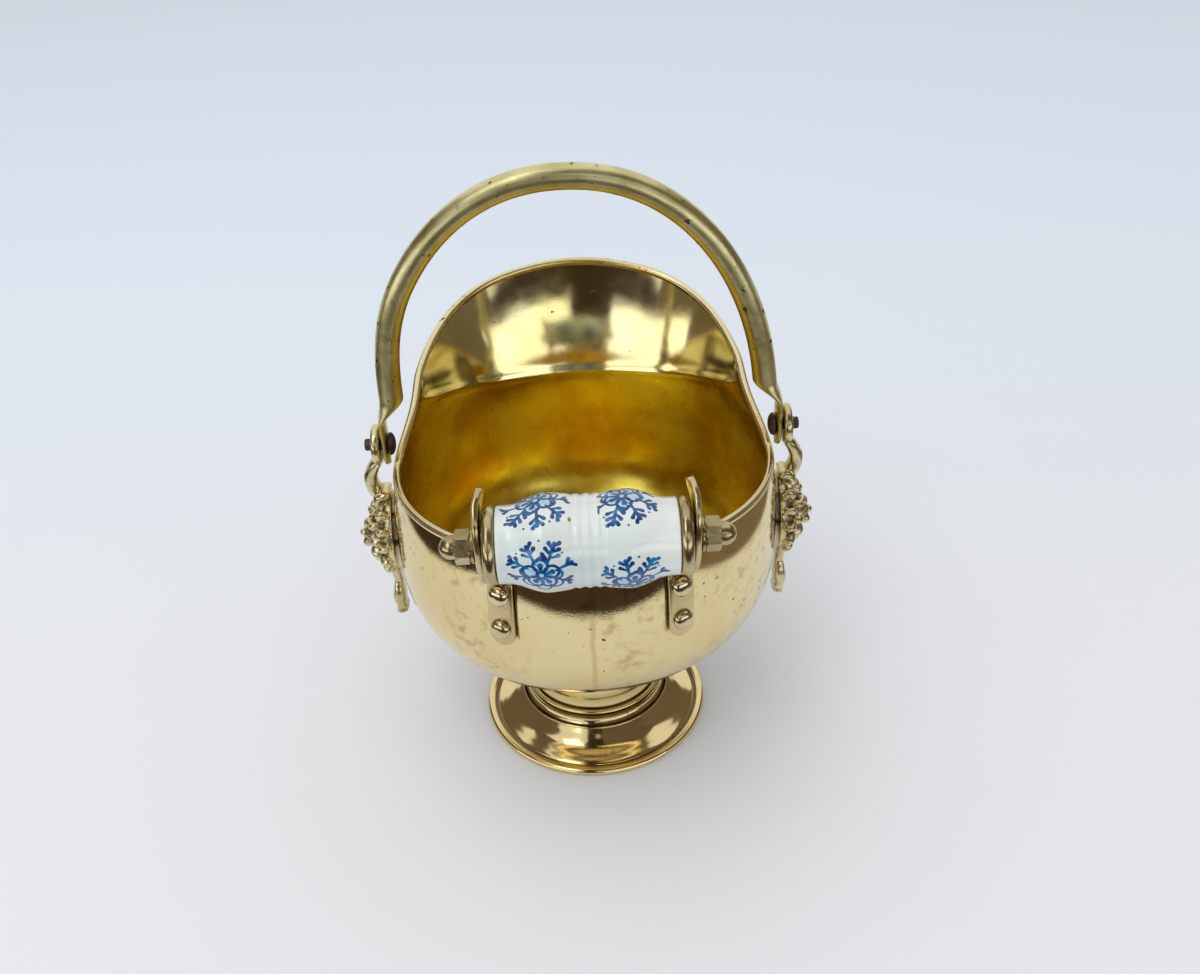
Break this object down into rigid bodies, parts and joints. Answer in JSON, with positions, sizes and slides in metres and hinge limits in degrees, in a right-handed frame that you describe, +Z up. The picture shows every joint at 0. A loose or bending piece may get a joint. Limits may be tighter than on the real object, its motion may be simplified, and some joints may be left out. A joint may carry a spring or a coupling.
{
  "type": "coal scuttle",
  "caption": "Small helmet-shaped brass coal scuttle with a flared hood, spun foot, swinging bail on lion-mask mounts and a painted porcelain grip on riveted brackets.",
  "frame": {"origin": "on the floor, under the middle of the whole object's bounding box", "axes": "+Z up; +X to the right; +Y towards the tall hood, -Y towards the porcelain grip"},
  "size_m": [0.1818, 0.1886, 0.2437],
  "materials": {
    "satin_brass": "satin, fine stipple and tarnish specks",
    "polished_brass": "polished, lightly worn",
    "bail_brass": "brushed, dull greenish brass with dark pits",
    "cast_brass": "cast, nickel-brown patina, highlights worn bright",
    "aged_brass": "aged, brownish patina",
    "dark_steel": "oxidised dark brown",
    "rod_steel": "plain drawn steel",
    "glazed_porcelain": "white glazed porcelain with hand-painted cobalt blue flowers"
  },
  "bodies": {
    "scuttle": {"bowl_shell": "satin_brass", "hood_shell": "satin_brass", "rim_bead": "polished_brass", "foot_bead": "polished_brass", "foot_flare": "polished_brass", "neck_collar": "polished_brass", "lion_mount_left": "cast_brass", "lion_mount_right": "cast_brass", "bracket_left": "aged_brass", "bracket_right": "aged_brass", "ferrule_left": "aged_brass", "ferrule_right": "aged_brass", "washer_left": "aged_brass", "washer_right": "aged_brass", "acorn_nut_left": "aged_brass", "acorn_nut_right": "aged_brass", "lion_rivet_left_upper": "aged_brass", "lion_rivet_left_lower": "aged_brass", "lion_rivet_right_upper": "aged_brass", "lion_rivet_right_lower": "aged_brass", "bracket_rivet_left_upper": "aged_brass", "bracket_rivet_left_lower": "aged_brass", "bracket_rivet_right_upper": "aged_brass", "bracket_rivet_right_lower": "aged_brass", "bail_pin_left": "dark_steel", "bail_pin_right": "dark_steel", "tie_rod": "rod_steel"},
    "bail": {"bail_tube": "bail_brass"},
    "grip": {"porcelain_grip": "glazed_porcelain"}
  },
  "joints": [
    {"name": "bail_swing", "type": "hinge", "parent": "scuttle", "child": "bail", "pos_m": [0, 0.00684, 0.1376], "axis": [1, 0, 0], "range_deg": [-64, 64]},
    {"name": "grip_spin", "type": "hinge", "parent": "scuttle", "child": "grip", "pos_m": [0, -0.07836, 0.1507], "axis": [1, 0, 0], "continuous": true}
  ]
}
